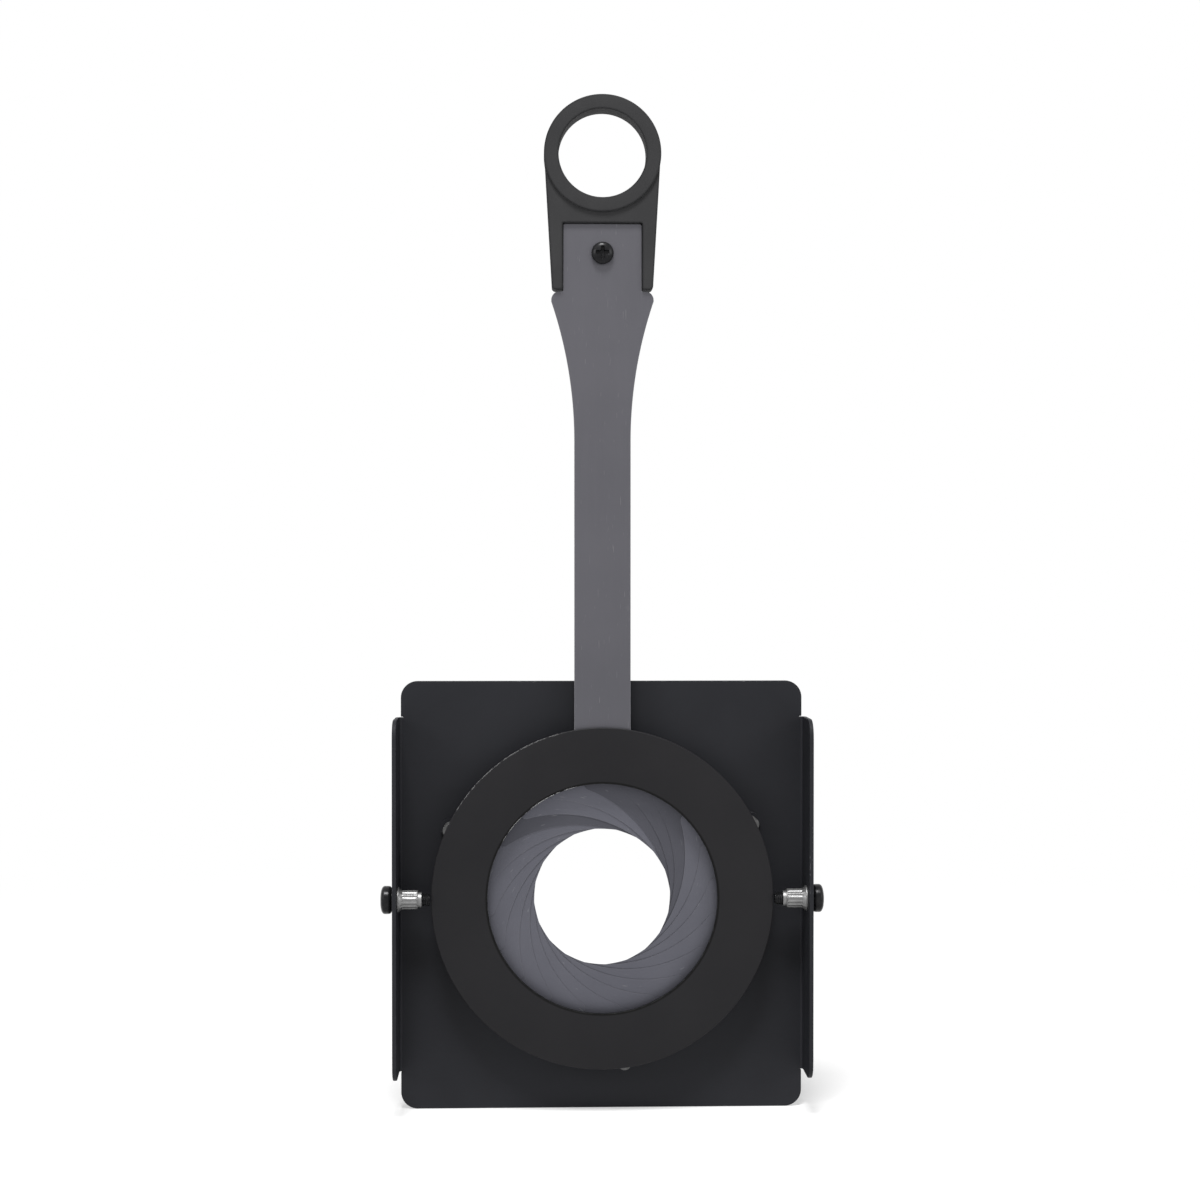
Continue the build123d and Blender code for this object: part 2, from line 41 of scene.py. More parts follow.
print("frame loaded")

# lengths in these dictionaries are in millimetres and angles in degrees, unless a note says otherwise


def meshFromGrid(name, points, closeRows=True, closeColumns=True, capEnds=False, uv=None):
    # points is (rows, columns, 3) in metres; quads join each point to the next row and the next column
    rows, columns = points.shape[:2]
    index = np.arange(rows * columns).reshape(rows, columns)
    if closeRows:
        index = np.vstack([index, index[:1]])
    if closeColumns:
        index = np.hstack([index, index[:, :1]])
    quads = np.stack([index[:-1, :-1], index[:-1, 1:], index[1:, 1:], index[1:, :-1]], axis=-1).reshape(-1, 4)
    faces = quads.tolist()
    if capEnds:
        last = (rows - 1) * columns
        faces.append(list(range(columns))[::-1])
        faces.append(list(range(last, last + columns)))
    mesh = bpy.data.meshes.new(name)
    mesh.from_pydata(points.reshape(-1, 3).tolist(), [], faces)
    if uv is not None:
        layer = mesh.uv_layers.new(name="along")
        loopVertex = np.empty(len(mesh.loops), dtype=np.int32)
        mesh.loops.foreach_get("vertex_index", loopVertex)
        layer.data.foreach_set("uv", uv.reshape(-1, 2)[loopVertex].ravel())
    return finishMesh(name, mesh)


def finishMesh(name, mesh, smoothAngle=35):
    # welds doubled points at the poles, turns the faces outwards and shades smooth up to smoothAngle; the
    # many-cornered end caps stay flat
    work = bmesh.new()
    work.from_mesh(mesh)
    bmesh.ops.remove_doubles(work, verts=work.verts, dist=1e-7)
    bmesh.ops.dissolve_degenerate(work, dist=1e-8, edges=work.edges)
    bmesh.ops.recalc_face_normals(work, faces=work.faces)
    work.to_mesh(mesh)
    work.free()
    mesh.shade_smooth()
    mesh.set_sharp_from_angle(angle=np.radians(smoothAngle))
    corners = np.empty(len(mesh.polygons), dtype=np.int32)
    mesh.polygons.foreach_get("loop_total", corners)
    mesh.polygons.foreach_set("use_smooth", corners <= 4)
    piece = bpy.data.objects.new(name, mesh)
    bpy.context.scene.collection.objects.link(piece)
    return piece


def roundCorners(corners, radii, steps=5):
    # a closed outline with each corner replaced by an arc of its own radius that is tangent to both sides
    corners = np.asarray(corners, float)
    outline = []
    for here, before, after, radius in zip(corners, np.roll(corners, 1, 0), np.roll(corners, -1, 0), radii):
        if radius == 0:
            outline.append(here[None])
            continue
        back = (before - here) / np.linalg.norm(before - here)
        ahead = (after - here) / np.linalg.norm(after - here)
        halfAngle = np.arccos(np.clip(back @ ahead, -1, 1)) / 2
        middle = here + (back + ahead) / np.linalg.norm(back + ahead) * radius / np.sin(halfAngle)
        start = here + back * radius / np.tan(halfAngle) - middle
        end = here + ahead * radius / np.tan(halfAngle) - middle
        sweep = np.arccos(np.clip(start @ end / radius**2, -1, 1))
        share = np.linspace(0, 1, steps + 1)[:, None]
        arc = (np.sin((1 - share) * sweep) * start + np.sin(share * sweep) * end) / np.sin(sweep)
        outline.append(middle + arc)
    return np.vstack(outline)


def revolve(name, profile, origin, axis, sideways, segments=96, radiusShift=None):
    # each profile point (r, h) goes once round the axis: origin + h * axis + r * (cos * sideways + sin * across)
    # radiusShift(turn, r, h) may add to r, for knurls, threads and the like
    axis, sideways = np.asarray(axis, float), np.asarray(sideways, float)
    across = np.cross(axis, sideways)
    turn = np.linspace(0, 2 * np.pi, segments, endpoint=False)[:, None]
    radius, height = profile[None, :, 0], profile[None, :, 1]
    if radiusShift is not None:
        radius = radius + radiusShift(turn, radius, height)
    radial = np.cos(turn)[..., None] * sideways + np.sin(turn)[..., None] * across
    points = np.asarray(origin, float) + radius[..., None] * radial + height[..., None] * axis
    return meshFromGrid(name, np.broadcast_to(points, (segments, profile.shape[0], 3)) * mm)


def slab(name, outline, edgeRadius, backDepth, frontDepth, placeRow, steps=5):
    # a flat piece with rounded rims: the outline is carried from its back face to its front face and
    # pulled inwards along its own normals by edgeRadius * (1 - cos) as it nears either face
    ahead = np.roll(outline, -1, 0) - outline
    ahead /= np.linalg.norm(ahead, axis=1)[:, None]
    behind = np.roll(ahead, 1, 0)
    normal = np.stack([-(ahead + behind)[:, 1], (ahead + behind)[:, 0]], axis=1)
    normal /= (np.linalg.norm(normal, axis=1) * np.sqrt((1 + (ahead * behind).sum(1)) / 2))[:, None]
    bend = np.linspace(0, np.pi / 2, steps + 1)
    inset = edgeRadius * (1 - np.sin(bend))
    rise = edgeRadius * (1 - np.cos(bend))
    insets = np.concatenate([inset, inset[::-1]])
    depths = np.concatenate([backDepth + rise, frontDepth - rise[::-1]])
    rows = outline[None] + insets[:, None, None] * normal[None]
    return meshFromGrid(name, placeRow(rows, depths) * mm, closeRows=False, capEnds=True)


def faceOn(rows, depths):
    # (x, z) outlines at their depths in front of the carrier's rear face
    depth = np.broadcast_to(-depths[:, None, None], rows.shape[:2] + (1,))
    return np.concatenate([rows[..., :1], depth, rows[..., 1:]], axis=2)


def softEdgedCopy(node, name, width, segments=2):
    # a welded copy of a CAD node whose flat faces are joined up and whose sharp edges are rounded by a bevel
    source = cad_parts[node]
    mesh = source.data.copy()
    work = bmesh.new()
    work.from_mesh(mesh)
    bmesh.ops.remove_doubles(work, verts=work.verts, dist=1e-6)
    bmesh.ops.dissolve_limit(work, angle_limit=np.radians(0.6), verts=work.verts, edges=work.edges)
    work.to_mesh(mesh)
    work.free()
    mesh.materials.clear()
    piece = bpy.data.objects.new(name, mesh)
    bpy.context.scene.collection.objects.link(piece)
    mesh.shade_smooth()
    mesh.set_sharp_from_angle(angle=np.radians(30))
    bevel = piece.modifiers.new("softEdges", "BEVEL")
    bevel.width = width * mm
    bevel.segments = segments
    bevel.limit_method = "ANGLE"
    bevel.angle_limit = np.radians(40)
    bevel.use_clamp_overlap = False
    weights = piece.modifiers.new("flatFaces", "WEIGHTED_NORMAL")
    weights.keep_sharp = True
    return piece


def dress(piece, body, material, slot, *nodes):
    piece.data.materials.clear()
    piece.data.materials.append(material)
    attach(piece, body)
    if nodes:
        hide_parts(*nodes)
    return piece


def newGroup(name, inputs, outputs):
    group = bpy.data.node_groups.new(name, "ShaderNodeTree")
    for label, kind, value in inputs:
        socket = group.interface.new_socket(label, in_out="INPUT", socket_type=kind)
        socket.default_value = value
    for label, kind in outputs:
        group.interface.new_socket(label, in_out="OUTPUT", socket_type=kind)
    return group, group.nodes.new("NodeGroupInput"), group.nodes.new("NodeGroupOutput")


def mathNode(tree, operation, first, second=None, third=None):
    node = tree.nodes.new("ShaderNodeMath")
    node.operation = operation
    for socket, value in zip(node.inputs, (first, second, third)):
        if value is None:
            continue
        if isinstance(value, (int, float)):
            socket.default_value = value
        else:
            tree.links.new(value, socket)
    return node.outputs[0]


def rampNode(tree, value, low, high, atLow=0.0, atHigh=1.0):
    node = tree.nodes.new("ShaderNodeMapRange")
    node.interpolation_type = "SMOOTHSTEP"
    for label, number in (("From Min", low), ("From Max", high), ("To Min", atLow), ("To Max", atHigh)):
        if isinstance(number, (int, float)):
            node.inputs[label].default_value = number
        else:
            tree.links.new(number, node.inputs[label])
    tree.links.new(value, node.inputs["Value"])
    return node.outputs["Result"]


def noiseNode(tree, coordinates, scale, detail=2.0, roughness=0.5):
    node = tree.nodes.new("ShaderNodeTexNoise")
    node.inputs["Detail"].default_value = detail
    node.inputs["Roughness"].default_value = roughness
    if isinstance(scale, (int, float)):
        node.inputs["Scale"].default_value = scale
    else:
        tree.links.new(scale, node.inputs["Scale"])
    tree.links.new(coordinates, node.inputs["Vector"])
    return node.outputs["Fac"]


def stretchNode(tree, coordinates, scale, turn=(0, 0, 0)):
    node = tree.nodes.new("ShaderNodeMapping")
    node.inputs["Scale"].default_value = scale
    node.inputs["Rotation"].default_value = np.radians(turn)
    tree.links.new(coordinates, node.inputs["Vector"])
    return node.outputs["Vector"]


def vectorNode(tree, operation, vector, other=None):
    # NORMALIZE gives a vector; LENGTH and DOT_PRODUCT give a number
    node = tree.nodes.new("ShaderNodeVectorMath")
    node.operation = operation
    tree.links.new(vector, node.inputs[0])
    if other is not None:
        node.inputs[1].default_value = other
    return node.outputs["Vector" if operation == "NORMALIZE" else "Value"]


def raysThatShowWhite(tree):
    # 1 for camera, glossy and transmission rays, which see the plain white surroundings
    path = tree.nodes.new("ShaderNodeLightPath")
    seen = mathNode(tree, "MAXIMUM", path.outputs["Is Camera Ray"], path.outputs["Is Glossy Ray"])
    return mathNode(tree, "MAXIMUM", seen, path.outputs["Is Transmission Ray"])


def mixColor(tree, factor, first, second, blend="MIX"):
    node = tree.nodes.new("ShaderNodeMix")
    node.data_type = "RGBA"
    node.blend_type = blend
    for socket, value in zip([s for s in node.inputs if s.enabled], (factor, first, second)):
        if isinstance(value, tuple):
            socket.default_value = value + (1,)
        elif isinstance(value, (int, float)):
            socket.default_value = value
        else:
            tree.links.new(value, socket)
    return [s for s in node.outputs if s.enabled][0]


def makeGrainGroup():
    # Fine grain of a coat or a moulding: two noises of different size, as a height and as a mask.
    group, given, result = newGroup(
        "fineGrain",
        [("Vector", "NodeSocketVector", (0, 0, 0)), ("Scale", "NodeSocketFloat", 900),
         ("Cloud", "NodeSocketFloat", 25)],
        [("Height", "NodeSocketFloat"), ("Cloud", "NodeSocketFloat")],
    )
    fine = noiseNode(group, given.outputs["Vector"], given.outputs["Scale"], 3, 0.6)
    cloud = noiseNode(group, given.outputs["Vector"], given.outputs["Cloud"], 4, 0.55)
    group.links.new(fine, result.inputs["Height"])
    group.links.new(rampNode(group, cloud, 0.3, 0.7), result.inputs["Cloud"])
    return group


# normals agree by flat or better on a plain face; cover and reach set how much of an edge the noise leaves marked
edgeMask = {"flat": 0.995, "rounded": 0.9, "detail": 0.65, "cover": 0.78, "reach": 0.45, "softness": 0.12}


def makeEdgeGroup():
    # Edge mask, for worn edges and for painted shade along edges and creases: where the normal rounded over Radius
    # departs from the true one, broken up by noise.
    group, given, result = newGroup(
        "edgeWearAndShade",
        [
            ("Vector", "NodeSocketVector", (0, 0, 0)),
            ("Radius", "NodeSocketFloat", 0.0004),
            ("Breakup", "NodeSocketFloat", 400),
            ("Amount", "NodeSocketFloat", 0.5),
        ],
        [("Mask", "NodeSocketFloat")],
    )
    bevel = group.nodes.new("ShaderNodeBevel")
    bevel.samples = 4
    group.links.new(given.outputs["Radius"], bevel.inputs["Radius"])
    geometry = group.nodes.new("ShaderNodeNewGeometry")
    dot = group.nodes.new("ShaderNodeVectorMath")
    dot.operation = "DOT_PRODUCT"
    group.links.new(bevel.outputs["Normal"], dot.inputs[0])
    group.links.new(geometry.outputs["Normal"], dot.inputs[1])
    edge = rampNode(group, dot.outputs["Value"], edgeMask["flat"], edgeMask["rounded"])
    rough = noiseNode(group, given.outputs["Vector"], given.outputs["Breakup"], 3, edgeMask["detail"])
    lowered = mathNode(group, "MULTIPLY", given.outputs["Amount"], edgeMask["reach"])
    limit = mathNode(group, "SUBTRACT", edgeMask["cover"], lowered)
    chips = rampNode(group, rough, limit, mathNode(group, "ADD", limit, edgeMask["softness"]))
    group.links.new(mathNode(group, "MULTIPLY", edge, chips), result.inputs["Mask"])
    return group


# stretches of the noise by axis, and the noise levels between which a scratch line or a patch of them fades in
brushForm = {"streaks": (40, 3200, 3200), "bands": (12, 60, 60), "scratchWidth": 2600, "patches": (160, 160, 160),
             "line": (0.71, 0.76), "patch": (0.56, 0.62), "turns": (24, -38, 71), "lengths": (120, 170, 140)}


def makeBrushGroup():
    # Rolled or brushed steel: fine streaks along X of Vector, broader bands, and a few stray scratches.
    group, given, result = newGroup(
        "brushedSteel",
        [("Vector", "NodeSocketVector", (0, 0, 0))],
        [("Streaks", "NodeSocketFloat"), ("Bands", "NodeSocketFloat"), ("Scratches", "NodeSocketFloat")],
    )
    vector = given.outputs["Vector"]
    streaks = noiseNode(group, stretchNode(group, vector, brushForm["streaks"]), 1.0, 3, 0.6)
    bands = noiseNode(group, stretchNode(group, vector, brushForm["bands"]), 1.0, 3, 0.5)
    layers = []
    for degrees, length in zip(brushForm["turns"], brushForm["lengths"]):
        turn, across = (0, 0, degrees), brushForm["scratchWidth"]
        lines = noiseNode(group, stretchNode(group, vector, (length, across, across), turn), 1.0, 1, 0.5)
        patches = noiseNode(group, stretchNode(group, vector, brushForm["patches"], turn), 1.0, 1, 0.5)
        thin = rampNode(group, lines, *brushForm["line"])
        layers.append(mathNode(group, "MULTIPLY", thin, rampNode(group, patches, *brushForm["patch"])))
    scratches = mathNode(group, "MAXIMUM", mathNode(group, "MAXIMUM", layers[0], layers[1]), layers[2])
    group.links.new(streaks, result.inputs["Streaks"])
    group.links.new(rampNode(group, bands, 0.3, 0.7), result.inputs["Bands"])
    group.links.new(scratches, result.inputs["Scratches"])
    return group


grainGroup = makeGrainGroup()
edgeGroup = makeEdgeGroup()
brushGroup = makeBrushGroup()


def useGroup(tree, group, vector=None, **values):
    node = tree.nodes.new("ShaderNodeGroup")
    node.node_tree = group
    for label, value in values.items():
        node.inputs[label].default_value = value
    if vector is not None:
        tree.links.new(vector, node.inputs["Vector"])
    return node.outputs


def newMaterial(name, **sockets):
    material = bpy.data.materials.new(name)
    material.use_nodes = True
    tree = material.node_tree
    shader = tree.nodes["Principled BSDF"]
    for label, value in sockets.items():
        shader.inputs[label.replace("_", " ")].default_value = value
    coordinates = tree.nodes.new("ShaderNodeTexCoord")
    return material, tree, shader, coordinates.outputs["Object"]


def bumpInto(tree, shader, height, strength, distance):
    bump = tree.nodes.new("ShaderNodeBump")
    bump.inputs["Strength"].default_value = strength
    bump.inputs["Distance"].default_value = distance
    tree.links.new(height, bump.inputs["Height"])
    tree.links.new(bump.outputs["Normal"], shader.inputs["Normal"])


def coatedSheet(name, look):
    # powder coat: fine orange peel, faint clouding, and bare metal where an edge has lost its coat; it can also paint a
    # highlight along one stretch of rim and paint shade round a bore's lip
    material, tree, shader, where = newMaterial(name, Specular_IOR_Level=look["specular"])
    grain = useGroup(tree, grainGroup, where, Scale=look["grainScale"], Cloud=look["cloudScale"])
    edge = useGroup(tree, edgeGroup, where, Radius=look["wearRadius"] * mm, Breakup=look["wearBreakup"],
                    Amount=look["wearAmount"])
    coat = mixColor(tree, grain["Cloud"], look["color"], look["cloudColor"])
    worn = edge["Mask"]
    if "highlightAndWearSector" in look:
        # rubbed through only along one stretch of the rim, seen from the ring's centre; that stretch is where the rim
        # catches the light, so this bright bare metal is partly real wear and partly a painted highlight
        middle, halfWidth = np.radians(look["highlightAndWearSector"])
        unit = vectorNode(tree, "NORMALIZE", stretchNode(tree, where, (1, 0, 1)))
        toward = vectorNode(tree, "DOT_PRODUCT", unit, (np.cos(middle), 0, np.sin(middle)))
        sectorEnd, sectorStart = (float(np.cos(halfWidth * share)) for share in look["sectorFade"])
        sector = rampNode(tree, toward, sectorEnd, sectorStart)
        worn = mathNode(tree, "MULTIPLY", worn, mathNode(tree, "MAXIMUM", sector, look["wornElsewhere"]))
    if "paintedShadeMouth" in look:
        # painted shade: the coat's colour is darkened round the bore's lip, between these two radii, standing in for
        # the shadow in the gap behind the ring's mouth
        radius = vectorNode(tree, "LENGTH", stretchNode(tree, where, (1, 0, 1)))
        lip = rampNode(tree, radius, look["paintedShadeMouth"][1] * mm, look["paintedShadeMouth"][0] * mm)
        coat = mixColor(tree, lip, coat, look["mouthShadeColor"])
    tree.links.new(mixColor(tree, worn, coat, look["bareColor"]), shader.inputs["Base Color"])
    rough = rampNode(tree, grain["Cloud"], 0, 1, look["roughness"], look["cloudRoughness"])
    tree.links.new(rough, shader.inputs["Roughness"])
    tree.links.new(mathNode(tree, "MULTIPLY", worn, look["bareMetallic"]), shader.inputs["Metallic"])
    bumpInto(tree, shader, grain["Height"], look["bump"], look["bumpHeight"] * mm)
    return material


plateLook = {
    "color": (0.0122, 0.0126, 0.0152), "cloudColor": (0.0146, 0.0151, 0.0180), "bareColor": (0.30, 0.30, 0.31),
    "roughness": 0.50, "cloudRoughness": 0.58, "specular": 0.13, "bump": 0.35, "grainScale": 1500, "cloudScale": 22,
    "wearRadius": 0.30, "wearBreakup": 260, "wearAmount": 0.45, "bareMetallic": 0.9, "bumpHeight": 0.06,
}
coverLook = dict(plateLook, color=(0.0098, 0.0096, 0.0108), cloudColor=(0.0120, 0.0116, 0.0128), wearAmount=0.8,
                 # painted highlight, partly real wear: bright bare metal along one stretch of the rim, where the light
                 # catches it
                 wearBreakup=420, wearRadius=0.35, bareColor=(0.75, 0.75, 0.75), highlightAndWearSector=(126.5, 22.0),
                 # painted shade: the coat is darkened round the mouth, standing in for the shadow between the ring and
                 # the leaves
                 sectorFade=(1.12, 0.9), wornElsewhere=0.04, paintedShadeMouth=(43.0, 43.5),
                 mouthShadeColor=(0.0015, 0.0015, 0.0015))
plateCoat = coatedSheet("plateBlackCoat", plateLook)
coverCoat = coatedSheet("coverBlackCoat", coverLook)


def sheetSteel(name, look, alongUv=False):
    # dark rolled sheet: streaks along the sheet, slow bands, stray bright scratches, brighter cut edges
    material, tree, shader, where = newMaterial(name, Metallic=look["metallic"])
    vector = where
    if alongUv:
        uv = tree.nodes.new("ShaderNodeUVMap")
        uv.uv_map = "along"
        vector = uv.outputs["UV"]
    elif look.get("grainTurn"):
        vector = stretchNode(tree, where, (1, 1, 1), look["grainTurn"])
    brush = useGroup(tree, brushGroup, vector)
    edge = useGroup(tree, edgeGroup, where, Radius=look["edgeRadius"] * mm, Breakup=look["edgeBreakup"],
                    Amount=look["edgeAmount"])
    cloud = useGroup(tree, grainGroup, where, Scale=look["grainScale"], Cloud=look["cloudScale"])["Cloud"]
    tone = mixColor(tree, cloud, look["color"], look["cloudColor"])
    for mask, kind in ((brush["Streaks"], "streak"), (brush["Scratches"], "scratch"), (edge["Mask"], "edge")):
        tone = mixColor(tree, mathNode(tree, "MULTIPLY", mask, look[kind + "Share"]), tone, look[kind + "Color"])
    # painted shade and highlight: the colour is scaled by a factor stored on each mesh, which for the leaves stands in
    # for how much light each one reflects
    if look.get("toneAttribute"):
        attribute = tree.nodes.new("ShaderNodeAttribute")
        attribute.attribute_name = look["toneAttribute"]
        shade = tree.nodes.new("ShaderNodeCombineColor")
        for label in ("Red", "Green", "Blue"):
            tree.links.new(attribute.outputs["Fac"], shade.inputs[label])
        tone = mixColor(tree, 1.0, tone, shade.outputs["Color"], "MULTIPLY")
    tree.links.new(tone, shader.inputs["Base Color"])
    rough = mathNode(tree, "MULTIPLY_ADD", brush["Streaks"], look["streakRoughness"], look["roughness"])
    rough = mathNode(tree, "MULTIPLY_ADD", brush["Bands"], look["bandRoughness"], rough)
    rough = mathNode(tree, "MULTIPLY_ADD", brush["Scratches"], look["scratchRoughness"], rough)
    tree.links.new(rough, shader.inputs["Roughness"])
    bumpInto(tree, shader, brush["Streaks"], look["bump"], look["bumpHeight"] * mm)
    return material


leverLook = {
    "color": (0.091, 0.090, 0.102), "cloudColor": (0.103, 0.101, 0.114), "streakColor": (0.124, 0.123, 0.135),
    "scratchColor": (0.30, 0.30, 0.31), "edgeColor": (0.42, 0.42, 0.43), "metallic": 0.85, "roughness": 0.42,
    "streakRoughness": 0.10, "bandRoughness": 0.06, "streakShare": 0.35, "scratchShare": 0.25, "edgeShare": 0.55,
    "scratchRoughness": -0.15, "edgeRadius": 0.22, "edgeBreakup": 90.0, "edgeAmount": 1.2, "grainScale": 600.0,
    "cloudScale": 18.0, "bump": 0.25, "bumpHeight": 0.02, "grainTurn": (0, 90, 0),
}
# painted light: the leaves' edges are lightened, partly as bright cut edges and partly to fill in the shade lines
# between stacked leaves
leafLook = dict(leverLook, color=(0.095, 0.096, 0.116), cloudColor=(0.108, 0.109, 0.130), streakShare=0.25,
                scratchShare=0.6, edgeShare=0.8, edgeColor=(0.22, 0.22, 0.24), edgeRadius=0.16, cloudScale=30.0,
                roughness=0.46, toneAttribute="leafReflectionShade")
ringLook = dict(leverLook, color=(0.10, 0.10, 0.11), cloudColor=(0.12, 0.12, 0.13))
leverSteel = sheetSteel("leverSteel", leverLook)
leafSteel = sheetSteel("leafSteel", leafLook, alongUv=True)
ringSteel = sheetSteel("driveRingSteel", ringLook)


platingBumpHeight = 0.03


def platedMetal(name, look):
    # bright plating or plain metal: slight clouding of colour and roughness over a fine grain
    material, tree, shader, where = newMaterial(name, Metallic=look["metallic"], Specular_IOR_Level=look["specular"])
    grain = useGroup(tree, grainGroup, where, Scale=look["grainScale"], Cloud=look["cloudScale"])
    tree.links.new(mixColor(tree, grain["Cloud"], look["color"], look["cloudColor"]), shader.inputs["Base Color"])
    rough = rampNode(tree, grain["Cloud"], 0, 1, look["roughness"], look["cloudRoughness"])
    tree.links.new(rough, shader.inputs["Roughness"])
    bumpInto(tree, shader, grain["Height"], look["bump"], platingBumpHeight * mm)
    return material


zinc = platedMetal("brightZinc", {
    "color": (0.40, 0.40, 0.395), "cloudColor": (0.30, 0.30, 0.30), "metallic": 1.0, "roughness": 0.20,
    "cloudRoughness": 0.30, "grainScale": 2200.0, "cloudScale": 900.0, "bump": 0.12, "specular": 0.5,
})
blackOxide = platedMetal("blackOxide", {
    "color": (0.008, 0.008, 0.009), "cloudColor": (0.016, 0.016, 0.017), "metallic": 0.3, "roughness": 0.20,
    "cloudRoughness": 0.30, "grainScale": 2600.0, "cloudScale": 380.0, "bump": 0.2, "specular": 0.14,
})
nutZinc = platedMetal("dullZinc", {
    "color": (0.24, 0.24, 0.24), "cloudColor": (0.20, 0.20, 0.20), "metallic": 1.0, "roughness": 0.46,
    "cloudRoughness": 0.50, "grainScale": 2200.0, "cloudScale": 900.0, "bump": 0.03, "specular": 0.5,
})
postSteel = platedMetal("postSteel", {
    "color": (0.11, 0.11, 0.11), "cloudColor": (0.07, 0.07, 0.07), "metallic": 1.0, "roughness": 0.32,
    "cloudRoughness": 0.42, "grainScale": 2200.0, "cloudScale": 900.0, "bump": 0.04, "specular": 0.5,
})
brass = platedMetal("insertBrass", {
    "color": (0.72, 0.52, 0.24), "cloudColor": (0.58, 0.42, 0.20), "metallic": 1.0, "roughness": 0.3,
    "cloudRoughness": 0.45, "grainScale": 1800.0, "cloudScale": 300.0, "bump": 0.15, "specular": 0.5,
})


def mouldedPlastic(name, look):
    # moulded nylon: a fine spark-eroded grain, faint flow clouding, and painted shade that darkens its edges and
    # creases, which are also a little smoother
    material, tree, shader, where = newMaterial(name, Specular_IOR_Level=look["specular"])
    grain = useGroup(tree, grainGroup, where, Scale=look["grainScale"], Cloud=look["cloudScale"])
    edge = useGroup(tree, edgeGroup, where, Radius=look["edgeRadius"] * mm, Breakup=look["edgeBreakup"],
                    Amount=look["edgeAmount"])
    tone = mixColor(tree, grain["Cloud"], look["color"], look["cloudColor"])
    tone = mixColor(tree, mathNode(tree, "MULTIPLY", edge["Mask"], look["edgeShare"]), tone, look["edgeColor"])
    tree.links.new(tone, shader.inputs["Base Color"])
    rough = rampNode(tree, grain["Height"], 0.3, 0.7, look["roughness"], look["grainRoughness"])
    rough = mathNode(tree, "MULTIPLY_ADD", edge["Mask"], look["edgeRoughness"], rough)
    tree.links.new(rough, shader.inputs["Roughness"])
    bumpInto(tree, shader, grain["Height"], look["bump"], look["bumpHeight"] * mm)
    return material


handlePlastic = mouldedPlastic("handlePlastic", {
    # painted shade: edges and creases are darkened to stand in for the shade at the ring step, the pocket and the
    # rounded rims
    "color": (0.030, 0.030, 0.031), "cloudColor": (0.036, 0.036, 0.037), "edgeColor": (0.006, 0.006, 0.007),
    "edgeShare": 0.9, "edgeRadius": 1.0, "edgeBreakup": 120.0, "edgeAmount": 3.0, "edgeRoughness": -0.12,
    "specular": 0.05, "roughness": 0.58, "grainRoughness": 0.70, "grainScale": 1100.0, "cloudScale": 40.0,
    "bump": 0.45, "bumpHeight": 0.1,
})
print("materials made")


plateEdge = 0.28
plate = softEdgedCopy("carrier_plate", "plateWithFlanges", plateEdge)
dress(plate, "carrier", plateCoat, "black_paint", "carrier_plate")

cover = {"innerRadius": 42.5, "outerRadius": 63.2, "backDepth": 11.085, "frontDepth": 12.585,
         "rimRadius": 0.35, "mouthRadius": 0.12, "backRadius": 0.15}
coverProfile = roundCorners(
    [(cover["innerRadius"], cover["backDepth"]), (cover["outerRadius"], cover["backDepth"]),
     (cover["outerRadius"], cover["frontDepth"]), (cover["innerRadius"], cover["frontDepth"])],
    [cover["backRadius"], cover["backRadius"], cover["rimRadius"], cover["mouthRadius"]],
)
coverRing = revolve("frontCoverRing", coverProfile, (0, 0, 0), (0, -1, 0), (1, 0, 0), 256)
dress(coverRing, "carrier", coverCoat, "black_paint", "cover_ring")
print("carrier made")

leaf = {
    "count": 20, "thickness": 0.15, "innerRadius": 49.0, "outerRadius": 59.0, "risePerRadian": 7.54 / (2 * np.pi),
    "endMargin": 2.6, "cornerRadius": 2.4, "studMargin": 2.0, "pivotCircle": 55.8, "firstPivotAngle": 1.6,
    "restAperture": 25.2, "openAperture": 42.8, "depth": 3.15, "stepsAlong": 120, "stepsAcross": 7,
    "endCrowding": 0.985, "patternShift": 3,
}
leafReflectionShades = np.ones(leaf["count"])
leafReflectionShades[[13, 14, 15]] = 0.70  # painted shade: these leaves' colour is darkened to stand in for the weaker reflection they show
# painted highlight: these leaves' colour is lightened to stand in for a brighter reflection
leafReflectionShades[[16, 17]] = 1.06
# painted shade: this leaf's colour is darkened for the same reason
leafReflectionShades[18] = 0.68


def leafTurn(aperture):
    # turn of a leaf about its pivot, from edge centred on the axis, that leaves this free radius
    return 2 * np.arcsin((leaf["innerRadius"] - aperture) / (2 * leaf["pivotCircle"]))


